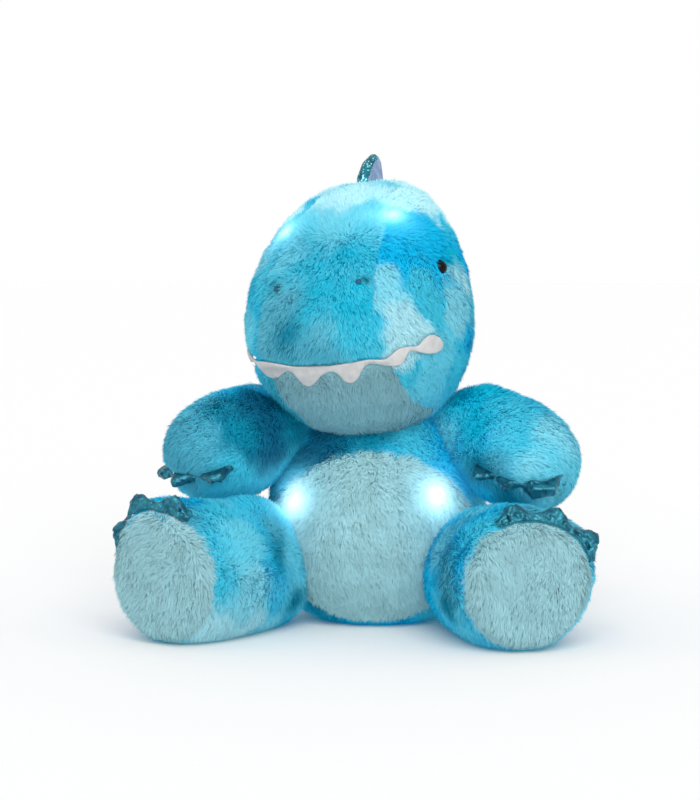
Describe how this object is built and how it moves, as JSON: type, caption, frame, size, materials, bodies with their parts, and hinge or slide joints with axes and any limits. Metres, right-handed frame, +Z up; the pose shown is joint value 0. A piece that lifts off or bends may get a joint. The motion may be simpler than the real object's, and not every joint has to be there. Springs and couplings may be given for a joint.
{
  "type": "plush night light",
  "caption": "Seated plush dinosaur night light with glowing brow and belly, leatherette claws, teeth and spikes, and a light module in a back pouch.",
  "frame": {"origin": "centre of the seat, on the floor under the body", "axes": "+Z up, the toy's belly faces -Y, +X is to a viewer's right"},
  "size_m": [0.3518, 0.3443, 0.3624],
  "materials": {
    "plush_blue": "long-pile plush, tie-dyed in blues",
    "plush_pale": "long-pile plush, pale aqua",
    "fibre": "loose polyester fibre",
    "leatherette_teal": "shiny metallic leatherette",
    "leatherette_cream": "matt leatherette",
    "eye_black": "polished",
    "washer_white": "moulded",
    "thread_blue": "stitched thread",
    "lining_fabric": "woven",
    "case_white": "moulded",
    "screw_steel": "bare",
    "cell_wrap": "printed sleeve over steel",
    "board_green": "solder mask",
    "switch_black": "moulded",
    "lamp": "clear dome over a white-blue LED",
    "lead_black": "insulated wire"
  },
  "bodies": {
    "body": {"body_cover": "plush_blue", "belly_panel": "plush_pale", "body_stuffing": "fibre", "back_spike": "leatherette_teal", "loop_strip": "lining_fabric", "pouch_lining": "lining_fabric", "module_case": "case_white", "battery_door": "case_white", "battery_door_screw": "screw_steel", "module_lid": "case_white", "module_lid_screw": "screw_steel", "cell_1": "cell_wrap", "cell_2": "cell_wrap", "cell_3": "cell_wrap", "circuit_board": "board_green", "power_switch": "switch_black", "left_belly_light": "lamp", "right_belly_light": "lamp", "left_belly_lead": "lead_black", "right_belly_lead": "lead_black", "neck_lead": "lead_black", "neck_connector": "case_white"},
    "head": {"head_cover": "plush_blue", "chin_panel": "plush_pale", "head_stuffing": "fibre", "teeth_strip": "leatherette_cream", "left_eye": "eye_black", "right_eye": "eye_black", "left_eye_washer": "washer_white", "right_eye_washer": "washer_white", "left_nostril_stitch": "thread_blue", "right_nostril_stitch": "thread_blue", "crown_spike": "leatherette_teal", "nape_spike": "leatherette_teal", "left_brow_light": "lamp", "right_brow_light": "lamp", "left_brow_lead": "lead_black", "right_brow_lead": "lead_black"},
    "left_arm": {"left_arm_cover": "plush_blue", "left_arm_stuffing": "fibre", "left_hand_claws": "leatherette_teal"},
    "right_arm": {"right_arm_cover": "plush_blue", "right_arm_stuffing": "fibre", "right_hand_claws": "leatherette_teal"},
    "left_leg": {"left_leg_cover": "plush_blue", "left_leg_stuffing": "fibre", "left_sole": "plush_pale", "left_foot_claws": "leatherette_teal"},
    "right_leg": {"right_leg_cover": "plush_blue", "right_leg_stuffing": "fibre", "right_sole": "plush_pale", "right_foot_claws": "leatherette_teal"},
    "tail": {"tail_cover": "plush_blue", "tail_stuffing": "fibre", "tail_spike_1": "leatherette_teal", "tail_spike_2": "leatherette_teal"},
    "flap": {"pouch_flap": "plush_blue", "hook_strip": "lining_fabric"},
    "button": {"power_button": "switch_black"}
  },
  "joints": [
    {"name": "head_turn", "type": "hinge", "parent": "body", "child": "head", "pos_m": [0, 0, 0.1641], "axis": [0, 0, 1], "range_deg": [-5, 40], "stiffness_Nm_per_rad": 0.6},
    {"name": "left_arm_lift", "type": "hinge", "parent": "body", "child": "left_arm", "pos_m": [-0.068, 0.008, 0.156], "axis": [0, 1, 0], "range_deg": [0, 25], "stiffness_Nm_per_rad": 0.4},
    {"name": "right_arm_lift", "type": "hinge", "parent": "body", "child": "right_arm", "pos_m": [0.068, 0.008, 0.156], "axis": [0, -1, 0], "range_deg": [0, 25], "stiffness_Nm_per_rad": 0.4},
    {"name": "left_leg_splay", "type": "hinge", "parent": "body", "child": "left_leg", "pos_m": [-0.072, -0.018, 0], "axis": [0, 0, -1], "range_deg": [-8, 12], "stiffness_Nm_per_rad": 0.6},
    {"name": "right_leg_splay", "type": "hinge", "parent": "body", "child": "right_leg", "pos_m": [0.072, -0.018, 0], "axis": [0, 0, 1], "range_deg": [-8, 12], "stiffness_Nm_per_rad": 0.6},
    {"name": "tail_wag", "type": "hinge", "parent": "body", "child": "tail", "pos_m": [0, 0.062, 0], "axis": [0, 0, 1], "range_deg": [-20, 20], "stiffness_Nm_per_rad": 0.4},
    {"name": "flap_lift", "type": "hinge", "parent": "body", "child": "flap", "pos_m": [0, 0.06488, 0.1145], "axis": [1, 0, 0], "range_deg": [0, 95]},
    {"name": "power_press", "type": "slide", "parent": "body", "child": "button", "axis": [0, -1, 0], "range_m": [0, 0.0012], "stiffness_N_per_m": 300}
  ]
}
